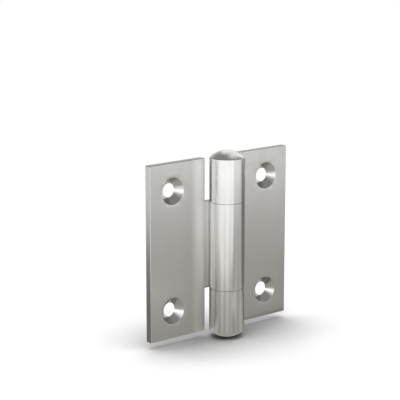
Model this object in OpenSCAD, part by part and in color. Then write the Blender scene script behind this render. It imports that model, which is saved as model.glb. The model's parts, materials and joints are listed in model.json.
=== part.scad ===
// Butt hinge with rolled knuckles, laid open flat.
// The pin axis is Z, the leaves lie along X, and the screws go in from the front, -Y.

/* [Leaves] */
// Height of both leaves
hinge_h = 60; // [50:1:100]
// Width of each leaf, from the pin axis to its outer edge
leaf_w = 30; // [26:0.5:50]
// Thickness of the sheet
sheet_t = 2.5; // [2.3:0.1:3]

/* [Knuckles] */
// Height of the middle knuckle
middle_knuckle_h = 29.9; // [16:0.1:32]
// Gap between one knuckle and the next
knuckle_gap = 0.1; // [0.05:0.05:0.5]
// Gap between a leaf's notch and the other leaf's knuckle
notch_clear = 0.8; // [0.6:0.1:2]
// Gap between the rolled end of the sheet and the leaf it comes back to
curl_gap = 0.1; // [0.05:0.05:0.6]

/* [Pin] */
// Diameter of the pin
pin_d = 7; // [5:0.1:8]
// Height of the domed heads
head_h = 2.4; // [1.5:0.1:3]
// How far the heads stay in from the outside of the knuckles
head_inset = 0.05; // [0.05:0.05:0.5]
// Radial clearance of the pin in the middle knuckle
running_clear = 0.05; // [0.02:0.01:0.09]

/* [Screw holes] */
// Diameter of the screw holes
screw_hole_d = 4.8; // [4.4:0.1:5.2]
// Diameter of the countersinks at the front face
sink_d = 9.2; // [8:0.1:9.4]
// Full angle of the countersinks
sink_angle = 90; // [88:1:100]
// Hole centres to the outer edge of the leaf
hole_from_side = 9.5; // [7:0.5:13]
// Hole centres to the top and bottom edges of the leaf
hole_from_end = 9.5; // [7:0.5:14]

/* [Hidden] */
$fn = 128;
// Extra length that carries a cut past the faces it opens
cut = 1;

pin_r = pin_d / 2;
knuckle_r = pin_r + sheet_t;
// The sheet is rolled back to the front, so the back of the leaves is level with the barrel
front_y = pin_r;
notch_x = knuckle_r + notch_clear;
middle_top = middle_knuckle_h / 2;
outer_knuckle_z = middle_top + knuckle_gap;
outer_knuckle_h = hinge_h / 2 - outer_knuckle_z;
// The roll stops short of the leaf's front face by the curl gap
curl_end_angle = asin((front_y - curl_gap) / knuckle_r);
sink_depth = (sink_d - screw_hole_d) / 2 / tan(sink_angle / 2);
hole_x = leaf_w - hole_from_side;
hole_z = hinge_h / 2 - hole_from_end;
head_r = knuckle_r - head_inset;
// Radius of the sphere whose cap is as wide and as high as a head
dome_r = (head_r * head_r + head_h * head_h) / (2 * head_h);

// Everything below draws a leaf that lies towards -X

// Outline of one knuckle, from above, with the strip that joins it to its leaf
module knuckle_outline(bore_r) {
    reach = 2 * knuckle_r;
    difference() {
        circle(r = knuckle_r);
        circle(r = bore_r);
        polygon([
            [0, 0],
            [0, reach],
            [-reach, reach],
            [-reach, reach * tan(curl_end_angle)]
        ]);
    }
    difference() {
        translate([-notch_x, front_y]) square([notch_x, sheet_t]);
        circle(r = bore_r);
    }
}

module knuckle(bottom, height, bore_r) {
    translate([0, 0, bottom])
        linear_extrude(height = height)
            knuckle_outline(bore_r);
}

// Hole along Y with its countersink on the front face
module screw_hole() {
    rotate([-90, 0, 0]) {
        translate([0, 0, front_y - cut])
            cylinder(d = screw_hole_d, h = sheet_t + 2 * cut);
        translate([0, 0, front_y])
            cylinder(d1 = sink_d, d2 = screw_hole_d, h = sink_depth);
    }
}

// Flat of a leaf, from its outer edge to the notches
module plate() {
    difference() {
        translate([-leaf_w, front_y, -hinge_h / 2])
            cube([leaf_w - notch_x, sheet_t, hinge_h]);
        for (side = [-1, 1])
            translate([-hole_x, 0, side * hole_z])
                screw_hole();
    }
}

// Leaf with the two outer knuckles, which hold the pin fast
module fixed_leaf() {
    color([0.66, 0.65, 0.63])
        mirror([1, 0, 0]) {
            plate();
            knuckle(outer_knuckle_z, outer_knuckle_h, pin_r);
            knuckle(-hinge_h / 2, outer_knuckle_h, pin_r);
        }
}

// Leaf with the middle knuckle, which turns on the pin
module moving_leaf() {
    color([0.66, 0.65, 0.63]) {
        plate();
        knuckle(-middle_top, middle_knuckle_h, pin_r + running_clear);
    }
}

// Domed head that sits on the end of a knuckle
module head() {
    intersection() {
        translate([0, 0, head_h - dome_r])
            sphere(r = dome_r);
        cylinder(r = knuckle_r, h = head_h + cut);
    }
}

// Pin with both heads formed on it
module hinge_pin() {
    color([0.72, 0.71, 0.69]) {
        translate([0, 0, -hinge_h / 2])
            cylinder(r = pin_r, h = hinge_h);
        for (end = [0, 1])
            mirror([0, 0, end])
                translate([0, 0, hinge_h / 2])
                    head();
    }
}

fixed_leaf();
moving_leaf();
hinge_pin();
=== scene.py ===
import json
import math

import bmesh
import bpy
from mathutils import Matrix, Vector


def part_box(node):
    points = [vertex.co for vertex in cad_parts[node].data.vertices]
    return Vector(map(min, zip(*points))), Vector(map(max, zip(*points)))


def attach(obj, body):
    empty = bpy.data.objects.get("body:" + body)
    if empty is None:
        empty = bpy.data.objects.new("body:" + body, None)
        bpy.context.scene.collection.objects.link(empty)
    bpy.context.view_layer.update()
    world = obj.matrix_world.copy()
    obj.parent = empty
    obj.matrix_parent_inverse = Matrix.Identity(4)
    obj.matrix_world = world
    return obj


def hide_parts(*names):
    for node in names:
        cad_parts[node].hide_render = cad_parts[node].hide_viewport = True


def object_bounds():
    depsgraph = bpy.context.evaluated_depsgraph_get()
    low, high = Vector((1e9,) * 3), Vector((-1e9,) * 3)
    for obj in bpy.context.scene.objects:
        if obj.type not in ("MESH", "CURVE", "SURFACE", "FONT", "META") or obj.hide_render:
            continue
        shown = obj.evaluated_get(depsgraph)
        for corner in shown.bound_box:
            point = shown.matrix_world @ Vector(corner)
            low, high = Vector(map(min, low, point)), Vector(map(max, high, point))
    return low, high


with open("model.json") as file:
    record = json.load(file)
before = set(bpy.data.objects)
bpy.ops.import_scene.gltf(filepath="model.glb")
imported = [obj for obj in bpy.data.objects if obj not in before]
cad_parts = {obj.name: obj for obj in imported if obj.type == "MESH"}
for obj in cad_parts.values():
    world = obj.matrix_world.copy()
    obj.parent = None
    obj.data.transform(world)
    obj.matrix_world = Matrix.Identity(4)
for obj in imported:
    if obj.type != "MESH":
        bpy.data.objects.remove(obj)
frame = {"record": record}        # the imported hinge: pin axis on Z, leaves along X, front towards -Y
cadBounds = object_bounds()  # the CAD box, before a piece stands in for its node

mm = 0.001
tiny = 0.001 * mm  # two places closer than this are one
print("frame loaded")


def hingeSizes():  # what the frame says of the hinge
    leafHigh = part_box("fixed_leaf")[1]
    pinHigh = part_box("hinge_pin")[1]
    screws = next(m for m in frame["record"]["mounts"] if m["name"] == "fixed_leaf_screws")
    return {
        "leafWidth": leafHigh.x,
        "halfHeight": leafHigh.z,
        "knuckleRadius": leafHigh.y,
        "headRadius": pinHigh.x,
        "headTop": pinHigh.z,
        "holeX": abs(screws["pos_m"][0]),
        "holeZ": screws["dims"]["spacing_y_mm"] / 2 * mm,
        "holeRadius": screws["dims"]["hole_r_mm"] * mm,
    }


hinge = hingeSizes()


# Shader helpers: column and row say where a node lies in the editor
def addNode(tree, kind, column, row, **settings):
    node = tree.nodes.new(kind)
    node.location = (column * 200, row * -220)
    for name, value in settings.items():
        setattr(node, name, value)
    return node


# A source is a socket to link or a plain value to set, and i0, i1 and so on are inputs by number
def feed(tree, node, **sources):
    for name, source in sources.items():
        socket = node.inputs[int(name[1:])] if name[1:].isdigit() else node.inputs[name.replace("_", " ")]
        if isinstance(source, bpy.types.NodeSocket):
            tree.links.new(source, socket)
        else:
            socket.default_value = source


def mathNode(tree, operation, column, row, *sources, clamp=False):
    node = addNode(tree, "ShaderNodeMath", column, row, operation=operation, use_clamp=clamp)
    feed(tree, node, **{f"i{i}": source for i, source in enumerate(sources)})
    return node.outputs[0]


def mapRange(tree, column, row, value, old, new, smooth=False):  # old and new are pairs
    node = addNode(tree, "ShaderNodeMapRange", column, row)
    node.interpolation_type = "SMOOTHSTEP" if smooth else "LINEAR"
    feed(tree, node, Value=value, From_Min=old[0], From_Max=old[1], To_Min=new[0], To_Max=new[1])
    return node.outputs[0]


def mixNode(tree, kind, column, row, share, first, second, blend="MIX"):
    node = addNode(tree, "ShaderNodeMix", column, row, data_type=kind, blend_type=blend)
    feed(tree, node, Factor=share, A=first, B=second)
    return node.outputs["Result"]


def noiseNode(tree, column, row, dimensions="3D", **sources):
    node = addNode(tree, "ShaderNodeTexNoise", column, row, noise_dimensions=dimensions)
    feed(tree, node, **sources)
    return node.outputs["Fac"]


def splitAxes(tree, column, row, vector):
    node = addNode(tree, "ShaderNodeSeparateXYZ", column, row)
    feed(tree, node, Vector=vector)
    return node.outputs


def reachFrom(tree, column, row, x, y):  # how far a point is from an axis, given its two offsets
    offset = addNode(tree, "ShaderNodeCombineXYZ", column, row)
    feed(tree, offset, X=x, Y=y)
    reach = addNode(tree, "ShaderNodeVectorMath", column + 1, row, operation="LENGTH")
    feed(tree, reach, Vector=offset.outputs[0])
    return reach.outputs["Value"]


def newGroup(name, inputs, outputs):  # an input is a number with its default, and None makes it a vector
    group = bpy.data.node_groups.new(name, "ShaderNodeTree")
    for socketName, value in inputs.items():
        kind = "NodeSocketVector" if value is None else "NodeSocketFloat"
        socket = group.interface.new_socket(socketName, in_out="INPUT", socket_type=kind)
        if value is not None:
            socket.default_value = value
    for socketName in outputs:
        group.interface.new_socket(socketName, in_out="OUTPUT", socket_type="NodeSocketFloat")
    return group, addNode(group, "NodeGroupInput", -4, 0).outputs, addNode(group, "NodeGroupOutput", 6, 0)


def placeGroup(tree, group, column, row, **sources):
    node = addNode(tree, "ShaderNodeGroup", column, row, node_tree=group)
    feed(tree, node, **sources)
    return node.outputs


# Spans of a noise that are stretched to a whole mask: the narrower one is, the clearer its patches
noiseSpan = (0.3, 0.7)
patchSpan = (0.35, 0.65)
markSpan = (0.35, 0.68)


# Fine lines that the grinding belt left, running up the leaf and along the barrel
def grindingLines():
    group, given, result = newGroup(
        "grindingLines", {"Vector": None, "Fineness": 9000.0, "Stretch": 60.0, "Patch Share": 0.08},
        ["Lines", "Patches"])
    axes = splitAxes(group, -3, 0, given["Vector"])
    shortened = mathNode(group, "DIVIDE", -2, 1, axes["Z"], given["Stretch"])
    joined = addNode(group, "ShaderNodeCombineXYZ", -1, 0)
    feed(group, joined, X=axes["X"], Y=axes["Y"], Z=shortened)
    place = joined.outputs[0]
    patchScale = mathNode(group, "MULTIPLY", 0, 2, given["Fineness"], given["Patch Share"])
    lines = noiseNode(group, 1, 0, Vector=place, Scale=given["Fineness"], Detail=2.0, Roughness=0.6)
    patches = noiseNode(group, 1, 1, Vector=place, Scale=patchScale, Detail=3.0, Roughness=0.55)
    feed(group, result, Lines=lines, Patches=patches)
    return group


# Edges rubbed bright: where a rounded normal leaves the true one, broken up so it isn't even
def edgeWear():
    group, given, result = newGroup(
        "edgeWear", {"Vector": None, "Width": 0.35 * mm, "Breakup": 0.5, "Patch Scale": 700.0,
                     "Least Bend": 0.995, "Full Bend": 0.9}, ["Worn"])
    rounded = addNode(group, "ShaderNodeBevel", -3, 0, samples=6)
    feed(group, rounded, Radius=given["Width"])
    surface = addNode(group, "ShaderNodeNewGeometry", -3, 1)
    dot = addNode(group, "ShaderNodeVectorMath", -2, 0, operation="DOT_PRODUCT")
    feed(group, dot, i0=rounded.outputs[0], i1=surface.outputs["True Normal"])
    bendSpan = (given["Least Bend"], given["Full Bend"])
    bend = mapRange(group, -1, 0, dot.outputs["Value"], bendSpan, (0.0, 1.0))
    patches = noiseNode(group, -2, 2, Vector=given["Vector"], Scale=given["Patch Scale"], Detail=3.0)
    kept = mapRange(group, -1, 2, patches, patchSpan, (0.0, 1.0))
    less = mathNode(group, "MULTIPLY", 1, 2, kept, given["Breakup"])
    feed(group, result, Worn=mathNode(group, "SUBTRACT", 2, 1, bend, less, clamp=True))
    return group


# Faint marks of handling and wiping, broad and soft
def handlingMarks():
    group, given, result = newGroup("handlingMarks", {"Vector": None, "Size": 9 * mm}, ["Marks"])
    scale = mathNode(group, "DIVIDE", -2, 1, 1.0, given["Size"])
    cloud = noiseNode(group, -1, 0, Vector=given["Vector"], Scale=scale, Detail=4.0, Roughness=0.5,
                      Distortion=0.6)
    feed(group, result, Marks=mapRange(group, 1, 0, cloud, markSpan, (0.0, 1.0), smooth=True))
    return group


# Rings that a turning tool leaves around its axis
def toolRings():
    group, given, result = newGroup("toolRings", {"Reach": 0.0, "Pitch": 0.1 * mm}, ["Rings"])
    turns = mathNode(group, "DIVIDE", -2, 0, given["Reach"], given["Pitch"])
    rings = noiseNode(group, -1, 0, dimensions="1D", W=turns, Scale=1.0, Detail=2.0, Roughness=0.5)
    feed(group, result, Rings=rings)
    return group


sheenSpans = {  # where one part of the painted reflection gives way to the next, in barrel radii from the pin's axis
    "sides": (0.92, 0.98),  # sideways, from the barrel's front to its sides
    "back": (0.1, 0.3),     # backwards, from its sides to the stretch behind them
    "end": (0.36, 0.46),    # backwards, from there to where the roll meets the leaf
    "rim": 1.02,            # what lies within this is barrel
    "corner": 1.5,          # outwards from the barrel to here, from the roll's end to the leaf
}


# Painted reflection: the sheet is painted lighter on the barrel's two sides and at the foot of the bend
def paintedRollSheen():
    group, given, result = newGroup(
        "paintedRollSheen", {"Vector": None, "Barrel": 6 * mm, "Full": 8 * mm, "Reach": 12 * mm, "On Front": 0.1,
                        "On Sides": 1.0, "On Back": 0.0, "On End": 0.0, "On Leaf": 0.3},
        ["Burnish", "Barrel"])
    axes = splitAxes(group, -3, 0, given["Vector"])
    away = reachFrom(group, -2, 0, axes["X"], axes["Y"])
    sideways = mathNode(group, "ABSOLUTE", -2, 2, axes["X"])
    lean = mathNode(group, "DIVIDE", -1, 2, sideways, given["Barrel"])
    sides = mapRange(group, 0, 2, lean, sheenSpans["sides"], (given["On Front"], given["On Sides"]),
                     smooth=True)
    behind = mathNode(group, "DIVIDE", -1, 3, axes["Y"], given["Barrel"])
    atBack = mapRange(group, 0, 3, behind, sheenSpans["back"], (0.0, 1.0), smooth=True)
    barrel = mixNode(group, "FLOAT", 1, 3, atBack, sides, given["On Back"])
    atEnd = mapRange(group, 1, 4, behind, sheenSpans["end"], (0.0, 1.0), smooth=True)
    rolled = mixNode(group, "FLOAT", 2, 3, atEnd, barrel, given["On End"])
    corner = mathNode(group, "MULTIPLY", -1, 1, given["Barrel"], sheenSpans["corner"])
    foot = mapRange(group, 0, 4, away, (given["Barrel"], corner), (given["On End"], given["On Leaf"]))
    offLeaf = mapRange(group, 0, 0, away, (given["Full"], given["Reach"]), (foot, 0.0), smooth=True)
    rim = mathNode(group, "MULTIPLY", 0, 1, given["Barrel"], sheenSpans["rim"])
    onBarrel = mathNode(group, "LESS_THAN", 1, 1, away, rim)
    feed(group, result, Burnish=mixNode(group, "FLOAT", 2, 0, onBarrel, offLeaf, rolled), Barrel=onBarrel)
    return group


effects = {
    "grinding": grindingLines(),
    "wear": edgeWear(),
    "handling": handlingMarks(),
    "rings": toolRings(),
    # painted reflection on the barrel's sides and at the foot of the bend
    "burnish": paintedRollSheen(),
}

wornColor = (0.56, 0.555, 0.54, 1.0)   # edges rubbed bright
handledTint = (0.94, 0.93, 0.91, 1.0)  # multiplies the colour of handled metal


def newMetal(name):
    material = bpy.data.materials.new(name)
    material.use_nodes = True
    tree = material.node_tree
    shader = tree.nodes["Principled BSDF"]
    shader.location = (1400, 0)
    tree.nodes["Material Output"].location = (1700, 0)
    feed(tree, shader, Metallic=1.0)
    coords = addNode(tree, "ShaderNodeTexCoord", -5, 0).outputs["Object"]
    return material, tree, shader, coords


# Lightens a colour where it is worn and dulls it a little where it is handled
def tintColor(tree, shader, coords, color, look):
    worn = placeGroup(tree, effects["wear"], -3, 1, Vector=coords)["Worn"]
    marks = placeGroup(tree, effects["handling"], -3, 2, Vector=coords, Size=look["markSize"])["Marks"]
    wornShare = mathNode(tree, "MULTIPLY", 1, 0, worn, look["wornShare"])
    markShare = mathNode(tree, "MULTIPLY", 1, 1, marks, look["markShare"])
    dull = mixNode(tree, "RGBA", 3, -1, markShare, color, handledTint, blend="MULTIPLY")
    feed(tree, shader, Base_Color=mixNode(tree, "RGBA", 4, -1, wornShare, dull, wornColor))
    return {"worn": worn, "handled": marks}


def addBump(tree, shader, height, depth):
    bump = addNode(tree, "ShaderNodeBump", 6, 2)
    feed(tree, bump, Height=height, Distance=depth, Strength=1.0)
    feed(tree, shader, Normal=bump.outputs[0])


def addRings(tree, shader, x, y, look):  # a tool's rings about an axis, given a point's offsets from it
    reach = reachFrom(tree, -2, 3, x, y)
    rings = placeGroup(tree, effects["rings"], 0, 3, Reach=reach, Pitch=look["pitch"])["Rings"]
    addBump(tree, shader, rings, look["ringDepth"])
    return rings


sheetFinish = {
    "color": (0.425, 0.42, 0.408, 1.0),
    "paintedSheenColor": (0.80, 0.795, 0.785, 1.0),  # painted reflection where it is full
    "sheenFull": 10.6 * mm,      # how far from the axis the foot of the bend keeps its full painted reflection
    "sheenReach": 13.6 * mm,     # and where it ends
    "onFront": 0.125,              # painted reflection on the barrel's front
    "onSides": 0.7,                # and on its two sides
    "paintedStreaks": 0.2,                # painted reflection streaks along the barrel, lighter and darker
    "streakSpan": (0.36, 0.64),
    "streakHeights": (-0.4, 0.6),  # they fade upwards between these shares of the half height
    "streakFade": (1.0, 0.15),
    "roughness": (0.28, 0.32),
    "barrelChange": -0.08,         # how the roughness changes on the barrel
    "handledChange": 0.03,         # where it is handled
    "wornChange": -0.05,           # and where it is worn
    "lineDepth": 0.0016 * mm,
    "wornShare": 0.6,
    "markShare": 0.5,
    "markSize": 9 * mm,
}
paintedSheenShares = {  # painted reflection of each leaf, set apart for each: behind its barrel's sides, where the roll meets it, and on the flat
    "fixed": {"onBack": 0.05, "onEnd": 0.1, "onLeaf": 0.0},
    "moving": {"onBack": 0.25, "onEnd": 0.8, "onLeaf": 0.38},
}


def sheetSteel(name, onBack, onEnd, onLeaf):  # satin sheet, with painted reflection on the barrel's sides and at the foot of the bend
    look = sheetFinish
    material, tree, shader, coords = newMetal(name)
    lines = placeGroup(tree, effects["grinding"], -3, 0, Vector=coords)
    # where the painted reflection falls on the barrel's sides and at the foot of the bend
    rolled = placeGroup(tree, effects["burnish"], -3, 4, Vector=coords, Barrel=hinge["knuckleRadius"],
                        Full=look["sheenFull"], Reach=look["sheenReach"], On_Front=look["onFront"],
                        On_Sides=look["onSides"], On_Back=onBack, On_End=onEnd, On_Leaf=onLeaf)
    # the sheet's colour, painted lighter where the painted reflection falls
    steel = mixNode(tree, "RGBA", 2, -2, rolled["Burnish"], look["color"], look["paintedSheenColor"])
    # Painted reflection streaks along the barrel, fading upwards
    heights = [share * hinge["halfHeight"] for share in look["streakHeights"]]
    fade = mapRange(tree, -2, 5, splitAxes(tree, -3, 5, coords)["Z"], heights, look["streakFade"])
    onBarrel = mathNode(tree, "MULTIPLY", -1, 5, fade, rolled["Barrel"])
    change = (-look["paintedStreaks"], look["paintedStreaks"])
    paintedStreaks = mapRange(tree, -2, 6, lines["Patches"], look["streakSpan"], change)
    paintedStreaks = mathNode(tree, "MULTIPLY", -1, 6, paintedStreaks, onBarrel)
    paintedSheetColor = addNode(tree, "ShaderNodeVectorMath", 3, -3, operation="SCALE")
    feed(tree, paintedSheetColor, i0=steel, Scale=mathNode(tree, "ADD", 0, 6, paintedStreaks, 1.0))
    masks = tintColor(tree, shader, coords, paintedSheetColor.outputs["Vector"], look)
    rough = mapRange(tree, 1, 2, lines["Patches"], noiseSpan, look["roughness"])
    rough = mathNode(tree, "MULTIPLY_ADD", 2, 2, rolled["Barrel"], look["barrelChange"], rough)
    rough = mathNode(tree, "MULTIPLY_ADD", 3, 2, masks["handled"], look["handledChange"], rough)
    rough = mathNode(tree, "MULTIPLY_ADD", 4, 2, masks["worn"], look["wornChange"], rough)
    feed(tree, shader, Roughness=rough)
    addBump(tree, shader, lines["Lines"], look["lineDepth"])
    return material


cutEdgeFinish = {
    # painted shade: darker than the sheet
    "color": (0.17, 0.169, 0.165, 1.0),
    "roughness": (0.27, 0.37),
    "gritScale": 3500.0,
    "gritDepth": 0.003 * mm,
    "wornShare": 0.6,
    "markShare": 1.0,
    "markSize": 3 * mm,
}


def cutEdgeSteel():  # sheared edges of the sheet, duller and a little torn, and painted darker as shade
    look = cutEdgeFinish
    material, tree, shader, coords = newMetal("shearedEdgeSteel")
    tintColor(tree, shader, coords, look["color"], look)
    grit = noiseNode(tree, -3, 3, Vector=coords, Scale=look["gritScale"], Detail=3.0, Roughness=0.6)
    feed(tree, shader, Roughness=mapRange(tree, 2, 2, grit, noiseSpan, look["roughness"]))
    addBump(tree, shader, grit, look["gritDepth"])
    return material


sinkFinish = {
    "color": (0.47, 0.465, 0.455, 1.0),
    "roughness": (0.18, 0.26),
    "ringDepth": 0.002 * mm,
    "pitch": 0.16 * mm,
    "wornShare": 0.5,
    "markShare": 1.0,
    "markSize": 4 * mm,
}


def sinkSteel():  # countersinks and screw holes, turned by a cutter about each hole's axis
    look = sinkFinish
    material, tree, shader, coords = newMetal("turnedSinkSteel")
    tintColor(tree, shader, coords, look["color"], look)
    axes = splitAxes(tree, -5, 3, coords)
    across = mathNode(tree, "ABSOLUTE", -4, 3, axes["X"])
    across = mathNode(tree, "SUBTRACT", -3, 3, across, hinge["holeX"])
    along = mathNode(tree, "ABSOLUTE", -4, 4, axes["Z"])
    along = mathNode(tree, "SUBTRACT", -3, 4, along, hinge["holeZ"])
    rings = addRings(tree, shader, across, along, look)
    feed(tree, shader, Roughness=mapRange(tree, 2, 2, rings, noiseSpan, look["roughness"]))
    return material


pinFinish = {
    "color": (0.50, 0.495, 0.485, 1.0),
    "roughness": (0.25, 0.3),
    "ringDepth": 0.0008 * mm,
    "pitch": 0.2 * mm,
    "wornShare": 0.5,
    "markShare": 1.0,
    "markSize": 5 * mm,
}


def pinSteel():  # drawn rod with its ends formed into heads
    look = pinFinish
    material, tree, shader, coords = newMetal("formedPinSteel")
    handled = tintColor(tree, shader, coords, look["color"], look)["handled"]
    axes = splitAxes(tree, -5, 3, coords)
    addRings(tree, shader, axes["X"], axes["Y"], look)
    feed(tree, shader, Roughness=mapRange(tree, 2, 2, handled, (0.0, 1.0), look["roughness"]))
    return material


metals = {
    "fixed": sheetSteel("fixedSheetSteel", **paintedSheenShares["fixed"]),
    "moving": sheetSteel("movingSheetSteel", **paintedSheenShares["moving"]),
    "cutEdge": cutEdgeSteel(),
    "sink": sinkSteel(),
    "pin": pinSteel(),
}
print("materials made")


# Pieces
def newObject(name, bm, materials):
    mesh = bpy.data.meshes.new(name)
    bm.to_mesh(mesh)
    bm.free()
    for material in materials:
        mesh.materials.append(material)
    made = bpy.data.objects.new(name, mesh)
    bpy.context.scene.collection.objects.link(made)
    return made


def addPiece(name, bm, materials, node, body):
    piece = newObject(name, bm, materials)
    piece.data.shade_smooth()
    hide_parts(node)
    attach(piece, body)
    return piece


leaf = {
    "sheet": 2.5 * mm,           # thickness of the sheet
    "middleKnuckle": 29.9 * mm,  # height of the middle knuckle
    "knuckleGap": 0.1 * mm,      # from one knuckle to the next
    "notchClear": 0.8 * mm,      # from a notch to the other leaf's knuckle
    "curlGap": 0.1 * mm,         # from the rolled end of the sheet to the leaf's front face
    "runningClear": 0.05 * mm,   # round the pin in the middle knuckle
    "sinkRadius": 4.6 * mm,      # countersinks at the front face
    "edgeRound": 0.2 * mm,       # rounding of the sheet's cut edges
    "holeRound": 0.05 * mm,      # rounding at the holes
    "curlRound": 0.03 * mm,      # rounding at the rolled end of the sheet
    "seamRound": 0.03 * mm,      # rounding where one knuckle meets the next
    "roundSteps": 3,
    "curlSteps": 100,
    "holeSides": 128,
}
leafFinishes = ["sheet", "cutEdge", "sink"]  # the order of a leaf's materials
backY = hinge["knuckleRadius"]               # the leaves' back is level with the barrel's
frontY = backY - leaf["sheet"]
notchX = hinge["knuckleRadius"] + leaf["notchClear"]
pinRadius = hinge["knuckleRadius"] - leaf["sheet"]
slack = 0.1 * mm                             # what is this close to a hole or the barrel belongs to it
squarely = 0.9                               # a face looks along an axis from this share of its normal on
sharpFrom = math.radians(30)                 # edges that bend less aren't rounded


# A leaf is drawn towards -X, and the fixed leaf is turned over to +X at the end
def splitAt(bm, axis, place):  # a cut through everything, across one axis
    normal = Vector((0, 0, 0))
    normal[axis] = 1
    everything = bm.verts[:] + bm.edges[:] + bm.faces[:]
    bmesh.ops.bisect_plane(bm, geom=everything, plane_co=normal * place, plane_no=normal, dist=tiny)


def openSquare(bm, x, y, z):  # takes out the square face about (x, y, z) and divides its border
    square = min(bm.faces, key=lambda f: (f.calc_center_median() - Vector((x, y, z))).length)
    border = square.edges[:]
    bmesh.ops.delete(bm, geom=[square], context="FACES_ONLY")
    bmesh.ops.subdivide_edges(bm, edges=border, cuts=leaf["holeSides"] // 4 - 1)
    loose = [edge for edge in bm.edges if edge.is_boundary]
    return [edge for edge in loose if all(abs(vert.co.y - y) < tiny for vert in edge.verts)]


# From the square border in the front face to the countersink, through the sheet, and out to the back's
def cutScrewHole(bm, x, z, halfSquare):
    sinkBottom = frontY + leaf["sinkRadius"] - hinge["holeRadius"]  # 90 degree countersink
    rim = openSquare(bm, x, frontY, z)
    openSquare(bm, x, backY, z)
    steps = [(leaf["sinkRadius"], frontY, "sheet"), (hinge["holeRadius"], sinkBottom, "sink"),
             (hinge["holeRadius"], backY, "sink"), (None, backY, "sheet")]
    for radius, y, finish in steps:
        pulled = bmesh.ops.extrude_edge_only(bm, edges=rim)["geom"]
        rim = [item for item in pulled if isinstance(item, bmesh.types.BMEdge)]
        for vert in {v for edge in rim for v in edge.verts}:
            outward = Vector((vert.co.x - x, 0, vert.co.z - z)).normalized()
            reach = radius or halfSquare / max(abs(outward.x), abs(outward.z))
            vert.co = Vector((x, y, z)) + outward * reach
        for edge in rim:
            edge.link_faces[0].material_index = leafFinishes.index(finish)
    bmesh.ops.remove_doubles(bm, verts=[v for v in bm.verts if abs(v.co.y - backY) < tiny], dist=tiny)


def withBorders(faces):
    return faces + list({e for f in faces for e in f.edges}) + list({v for f in faces for v in f.verts})


# Pulls the sheet out to above the pin's axis, brings it to its thickness there, and rolls it round the bore
def rollKnuckle(bm, low, high, boreRadius):
    middles = {f: f.calc_center_median() for f in bm.faces if f.normal.x > squarely}
    ends = [f for f, middle in middles.items() if abs(middle.x + notchX) < tiny and low < middle.z < high]
    boreMeets = -math.sqrt(max(boreRadius ** 2 - frontY ** 2, 0))  # where the bore leaves the front face
    stops = [boreMeets, 0] if boreMeets < -tiny else [0]
    for stop in stops:
        pulled = bmesh.ops.extrude_face_region(bm, geom=withBorders(ends))["geom"]
        for vert in (item for item in pulled if isinstance(item, bmesh.types.BMVert)):
            vert.co.x = stop
        ends = [item for item in pulled if isinstance(item, bmesh.types.BMFace)]
    for vert in {v for face in ends for v in face.verts}:
        if vert.co.y < (frontY + backY) / 2:
            vert.co.y = boreRadius
    closing = math.asin((frontY - leaf["curlGap"]) / hinge["knuckleRadius"])
    turn = -(math.radians(270) + closing)  # three quarters of a turn to the leaf's side, and on to the leaf
    bmesh.ops.spin(bm, geom=withBorders(ends), cent=(0, 0, 0), axis=(0, 0, 1), angle=turn,
                   steps=leaf["curlSteps"])


def markRounding(bm):  # bevel weights: the sheet's cut edges round fully, the others less
    weights = bm.edges.layers.float.new("bevel_weight_edge")
    for edge in bm.edges:
        if len(edge.link_faces) == 2 and edge.calc_face_angle() > sharpFrom:
            start, end = (vert.co for vert in edge.verts)
            middle = (start + end) / 2
            reach = math.hypot(abs(middle.x) - hinge["holeX"], abs(middle.z) - hinge["holeZ"])
            onBarrel = math.hypot(middle.x, middle.y) < hinge["knuckleRadius"] + slack
            if reach < leaf["sinkRadius"] + slack:
                width = leaf["holeRound"]
            elif onBarrel and abs(start.z - end.z) > slack:
                width = leaf["curlRound"]
            elif onBarrel:
                width = leaf["seamRound"]
            else:
                width = leaf["edgeRound"]
            edge[weights] = width / leaf["edgeRound"]


def markCutFaces(bm):  # the sheet's narrow sides were sheared
    plain = leafFinishes.index("sheet")
    for face in bm.faces:
        outside = abs(face.normal.x) > squarely and abs(face.calc_center_median().x) > notchX - tiny
        if face.material_index == plain and (abs(face.normal.z) > squarely or outside):
            face.material_index = leafFinishes.index("cutEdge")


def finishEdges(piece):
    rounding = piece.modifiers.new("roundedEdges", "BEVEL")
    rounding.limit_method = "WEIGHT"
    rounding.width = leaf["edgeRound"]
    rounding.segments = leaf["roundSteps"]
    rounding.use_clamp_overlap = True
    normals = piece.modifiers.new("flatFaces", "WEIGHTED_NORMAL")
    normals.weight = 80  # the large faces lead, so they shade flat
    normals.keep_sharp = True


def makeLeaf(name, node, body, knuckles, boreRadius, toRight):
    width, halfHeight = hinge["leafWidth"], hinge["halfHeight"]
    holeX, holeZ = -hinge["holeX"], hinge["holeZ"]
    bm = bmesh.new()
    size = Matrix.Diagonal((width - notchX, leaf["sheet"], 2 * halfHeight, 1))
    middle = Matrix.Translation((-(width + notchX) / 2, (frontY + backY) / 2, 0))
    bmesh.ops.create_cube(bm, size=1, matrix=middle @ size)
    knuckleEnds = {z for span in knuckles for z in span if abs(z) < halfHeight}
    halfSquare = holeZ - max(knuckleEnds)  # the squares round the holes begin level with the knuckles' ends
    for place in sorted(knuckleEnds | {-holeZ - halfSquare, holeZ + halfSquare}):
        splitAt(bm, 2, place)
    for place in (holeX - halfSquare, holeX + halfSquare):
        splitAt(bm, 0, place)
    for z in (-holeZ, holeZ):
        cutScrewHole(bm, holeX, z, halfSquare)
    bm.normal_update()
    for low, high in knuckles:
        rollKnuckle(bm, low, high, boreRadius)
    if toRight:
        bmesh.ops.scale(bm, vec=(-1, 1, 1), verts=bm.verts)
    bmesh.ops.recalc_face_normals(bm, faces=bm.faces)
    bm.normal_update()
    markRounding(bm)
    markCutFaces(bm)
    materials = [metals[body], metals["cutEdge"], metals["sink"]]
    finishEdges(addPiece(name, bm, materials, node, body))


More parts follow.
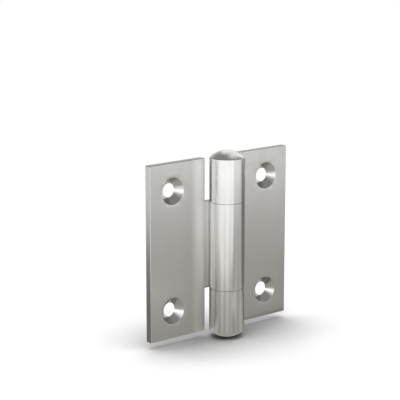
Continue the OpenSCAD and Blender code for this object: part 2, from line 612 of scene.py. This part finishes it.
middleTop = leaf["middleKnuckle"] / 2
outerFrom = middleTop + leaf["knuckleGap"]
makeLeaf("movingLeafSheet", "moving_leaf", "moving",
         [(-middleTop, middleTop)], pinRadius + leaf["runningClear"], toRight=False)
makeLeaf("fixedLeafSheet", "fixed_leaf", "fixed",
         [(outerFrom, hinge["halfHeight"]), (-hinge["halfHeight"], -outerFrom)], pinRadius, toRight=True)
print("leaves rolled")

pin = {
    "headRound": 0.12 * mm,  # rounding where a head meets its knuckle
    "roundSteps": 5,
    "domeSteps": 24,
    "turnSteps": 160,
}


# The outline from the dome's top to half way down, mirrored down and turned about the axis
def makePin():
    headHeight = hinge["headTop"] - hinge["halfHeight"]
    domeRadius = (hinge["headRadius"] ** 2 + headHeight ** 2) / (2 * headHeight)
    centre = hinge["headTop"] - domeRadius
    bm = bmesh.new()
    top = bmesh.ops.create_vert(bm, co=(0, 0, hinge["headTop"]))["vert"]
    dome = bmesh.ops.spin(bm, geom=top, cent=(0, 0, centre), axis=(0, 1, 0), steps=pin["domeSteps"],
                          angle=math.asin(hinge["headRadius"] / domeRadius))["geom_last"]
    rim = next(item for item in dome if isinstance(item, bmesh.types.BMVert))
    shoulder = rim
    for z in (hinge["halfHeight"], 0):
        shoulder = bmesh.ops.extrude_vert_indiv(bm, verts=[shoulder])["verts"][0]
        shoulder.co = Vector((pinRadius, 0, z))
    bmesh.ops.bevel(bm, geom=[rim], offset=pin["headRound"], offset_type="OFFSET", affect="VERTICES",
                    segments=pin["roundSteps"], profile=0.5, material=-1)
    bmesh.ops.mirror(bm, geom=bm.verts[:] + bm.edges[:], axis="Z", merge_dist=tiny)
    bmesh.ops.remove_doubles(bm, verts=bm.verts, dist=tiny)
    bmesh.ops.spin(bm, geom=bm.verts[:] + bm.edges[:], cent=(0, 0, 0), axis=(0, 0, 1),
                   angle=math.radians(360), steps=pin["turnSteps"], use_merge=True)
    bmesh.ops.remove_doubles(bm, verts=bm.verts, dist=tiny)
    bmesh.ops.recalc_face_normals(bm, faces=bm.faces)
    addPiece("domedPin", bm, [metals["pin"]], "hinge_pin", "fixed")


makePin()
print("pin formed")


# Stage
stage = {
    "floorZ": cadBounds[0][2],  # the pin's lower head touches it
    "floorSize": 6.0,
    "floorColor": 0.93,
    "shadeReach": 29 * mm,      # how far the hinge's painted shade darkens the floor round its foot
    "shadeDepth": 1.12,
    "whiteSpan": (0.10, 0.30),  # how far off the floor begins to turn plain white, and is white
    # What metal sees of the floor, a painted reflection that glows: its level near the hinge and far off,
    # and where it changes
    "mirrorNear": (0.62, 0.60, 0.56, 1.0),
    "mirrorFar": (1.12, 1.12, 1.12, 1.0),
    "mirrorSpan": (0.11, 0.30),
    "mirrorCurve": 1.5,         # over 1 the change comes late
    "mirrorShade": 0.1,         # the share that it sees of the hinge's own shadow
    # The studio round it: its level low down and overhead, and between which heights it changes
    "skyLevels": (1.0, 0.42),
    "skySpan": (0.15, 0.75),
}


def floorMaterial():
    material = bpy.data.materials.new("paleFloor")
    material.use_nodes = True
    tree = material.node_tree
    tree.nodes.remove(tree.nodes["Principled BSDF"])
    output = tree.nodes["Material Output"]
    output.location = (1400, 0)
    coords = addNode(tree, "ShaderNodeTexCoord", -3, 0)
    reach = addNode(tree, "ShaderNodeVectorMath", -2, 0, operation="LENGTH")
    feed(tree, reach, Vector=coords.outputs["Object"])
    path = addNode(tree, "ShaderNodeLightPath", -3, 2).outputs

    # Pale paint with painted shade where the hinge is close, and plain white far off
    closeness = addNode(tree, "ShaderNodeAmbientOcclusion", -1, 3, samples=8)
    feed(tree, closeness, Distance=stage["shadeReach"])
    shade = mathNode(tree, "POWER", 0, 3, closeness.outputs["AO"], stage["shadeDepth"])
    paint = addNode(tree, "ShaderNodeBsdfDiffuse", 2, 1)
    feed(tree, paint, Color=mathNode(tree, "MULTIPLY", 1, 3, shade, stage["floorColor"]))
    white = addNode(tree, "ShaderNodeEmission", 2, 2)
    feed(tree, white, Color=(1, 1, 1, 1), Strength=1.0)
    far = mapRange(tree, -1, 0, reach.outputs["Value"], stage["whiteSpan"], (0.0, 1.0), smooth=True)
    seen = mathNode(tree, "MAXIMUM", -1, 2, path["Is Camera Ray"], path["Is Transmission Ray"])
    plain = addNode(tree, "ShaderNodeMixShader", 4, 0)
    farSeen = mathNode(tree, "MULTIPLY", 1, 0, far, seen)
    feed(tree, plain, i0=farSeen, i1=paint.outputs[0], i2=white.outputs[0])

    # What metal sees instead, a painted reflection that glows: darker near the hinge and lighter far off
    away = mapRange(tree, 2, 3, reach.outputs["Value"], stage["mirrorSpan"], (0.0, 1.0))
    away = mathNode(tree, "POWER", 2, 4, away, stage["mirrorCurve"])
    mirrored = addNode(tree, "ShaderNodeEmission", 4, 3)
    level = mixNode(tree, "RGBA", 3, 4, away, stage["mirrorNear"], stage["mirrorFar"])
    feed(tree, mirrored, Color=level, Strength=1.0)
    byMetal = mathNode(tree, "MULTIPLY", 3, 3, path["Is Glossy Ray"], 1 - stage["mirrorShade"])
    both = addNode(tree, "ShaderNodeMixShader", 6, 0)
    feed(tree, both, i0=byMetal, i1=plain.outputs[0], i2=mirrored.outputs[0])
    feed(tree, output, Surface=both.outputs[0])
    return material


def makeFloor():
    bm = bmesh.new()
    bmesh.ops.create_grid(bm, x_segments=1, y_segments=1, size=stage["floorSize"] / 2,
                          matrix=Matrix.Translation((0, 0, stage["floorZ"])))
    newObject("floor", bm, [floorMaterial()])


def makeWorld():  # a pale studio, lighter towards the horizon
    world = bpy.data.worlds.new("studio")
    world.use_nodes = True
    bpy.context.scene.world = world
    tree = world.node_tree
    coords = addNode(tree, "ShaderNodeTexCoord", -4, 0)
    height = splitAxes(tree, -3, 0, coords.outputs["Generated"])["Z"]
    level = mapRange(tree, -2, 0, height, stage["skySpan"], stage["skyLevels"], smooth=True)
    feed(tree, tree.nodes["Background"], Color=(1, 1, 1, 1), Strength=level)


# Turn is the angle round from the front, with the left below 0, and rise the angle up from level.
# The overhead lamp lights the room, and the others are cards of light that only metal sees.
lamps = {
    "overhead": {"turn": 0, "rise": 90, "away": 1.4, "size": (3.0, 3.0), "level": 1.13, "mirrored": False},
    "frontLeftClose": {"turn": -46.5, "rise": 0, "away": 0.08, "size": (0.185, 0.064), "level": 0.76},
    "frontLeftFar": {"turn": -52, "rise": 0, "away": 0.20, "size": (0.34, 0.064), "level": 0.38},
    "frontLeftHigh": {"turn": -48, "rise": 9, "away": 0.75, "size": (1.0, 0.28), "level": 0.45},
    "frontRightFar": {"turn": 22, "rise": 0, "away": 0.24, "size": (0.34, 0.064), "level": 0.68},
    "frontRightLow": {"turn": 4, "rise": -36, "away": 0.049, "size": (0.018, 0.008), "level": 0.45},
    "left": {"turn": -112, "rise": 0, "away": 0.16, "size": (0.09, 0.064), "level": 0.9},
    "backLeft": {"turn": -143, "rise": 0, "away": 0.18, "size": (0.09, 0.064), "level": 3.1},
    "backRight": {"turn": 126.5, "rise": 40, "away": 1.1, "size": (0.80, 0.76), "level": 1.04},
    "rightHigh": {"turn": 100, "rise": 66, "away": 1.1, "size": (0.42, 0.42), "level": 0.85},
}
mirroredTint = (0.97, 1.0, 1.03)  # what metal sees is a little cooler than the room


def fromHinge(turn, rise):
    turn, rise = math.radians(turn), math.radians(rise)
    return Vector((math.sin(turn) * math.cos(rise), -math.cos(turn) * math.cos(rise), math.sin(rise)))


def makeLamp(name, turn, rise, away, size, level, mirrored=True):
    light = bpy.data.lights.new(name, "AREA")
    light.shape = "RECTANGLE"
    light.size, light.size_y = size
    light.energy = level * size[0] * size[1] * math.pi  # so that its face has this brightness
    if mirrored:
        light.color = mirroredTint
    lamp = bpy.data.objects.new(name, light)
    lamp.location = fromHinge(turn, rise) * away
    lamp.rotation_euler = fromHinge(turn, rise).to_track_quat("Z", "Y").to_euler()
    lamp.visible_glossy = mirrored
    lamp.visible_diffuse = not mirrored
    bpy.context.scene.collection.objects.link(lamp)


fans = {  # grey card on the floor that only metal sees, a painted dark reflection: turned from and to, and reaching from and to
    "rightCard": {"turn": (66, 84), "reach": (60 * mm, 360 * mm)},
    "rightNearCard": {"turn": (84, 108), "reach": (9 * mm, 330 * mm)},
    "backCard": {"turn": (158, 196), "reach": (12 * mm, 330 * mm)},
}
card = {
    "color": (0.2, 0.2, 0.2, 1.0),
    "roughness": 0.9,
    "lift": 0.3 * mm,  # above the floor
    "steps": 8,
}


def makeFan(name, turn, reach, material):  # a painted dark reflection that gives the barrel a dark edge on one side
    height = Vector((0, 0, stage["floorZ"] + card["lift"]))
    side = fromHinge(turn[0], 0)
    bm = bmesh.new()
    inner = bmesh.ops.create_vert(bm, co=side * reach[0] + height)["vert"]
    outer = bmesh.ops.extrude_vert_indiv(bm, verts=inner)["verts"][0]
    outer.co = side * reach[1] + height
    bmesh.ops.spin(bm, geom=bm.verts[:] + bm.edges[:], cent=(0, 0, 0), axis=(0, 0, 1), steps=card["steps"],
                   angle=math.radians(turn[1] - turn[0]))
    fan = newObject(name, bm, [material])
    fan.visible_camera = False
    fan.visible_diffuse = False
    fan.visible_shadow = False


def makeFans():
    material = bpy.data.materials.new("darkReflectionCard")
    material.use_nodes = True
    shader = material.node_tree.nodes["Principled BSDF"]
    feed(material.node_tree, shader, Base_Color=card["color"], Roughness=card["roughness"])
    for name, values in fans.items():
        makeFan(name, material=material, **values)


camera = {
    "turn": -39.43,                              # degrees from the front, to the left
    "rise": 12.52,                               # degrees above level
    "aim": (-7.12 * mm, 5.68 * mm, 15.33 * mm),  # what the middle of the picture shows
    "away": 500 * mm,
    "lens": 133.68,
    "sensor": 36,
    "clip": (0.01, 20),
}


def makeCamera():
    data = bpy.data.cameras.new("camera")
    data.lens = camera["lens"]
    data.sensor_width = camera["sensor"]
    data.clip_start, data.clip_end = camera["clip"]
    view = bpy.data.objects.new("camera", data)
    view.location = Vector(camera["aim"]) + fromHinge(camera["turn"], camera["rise"]) * camera["away"]
    view.rotation_euler = (math.radians(90 - camera["rise"]), 0, math.radians(camera["turn"]))
    bpy.context.scene.collection.objects.link(view)
    bpy.context.scene.camera = view


makeFloor()
makeWorld()
makeFans()
for name, values in lamps.items():
    makeLamp(name, **values)
makeCamera()
bpy.context.scene.view_settings.view_transform = "Standard"
print("stage set")
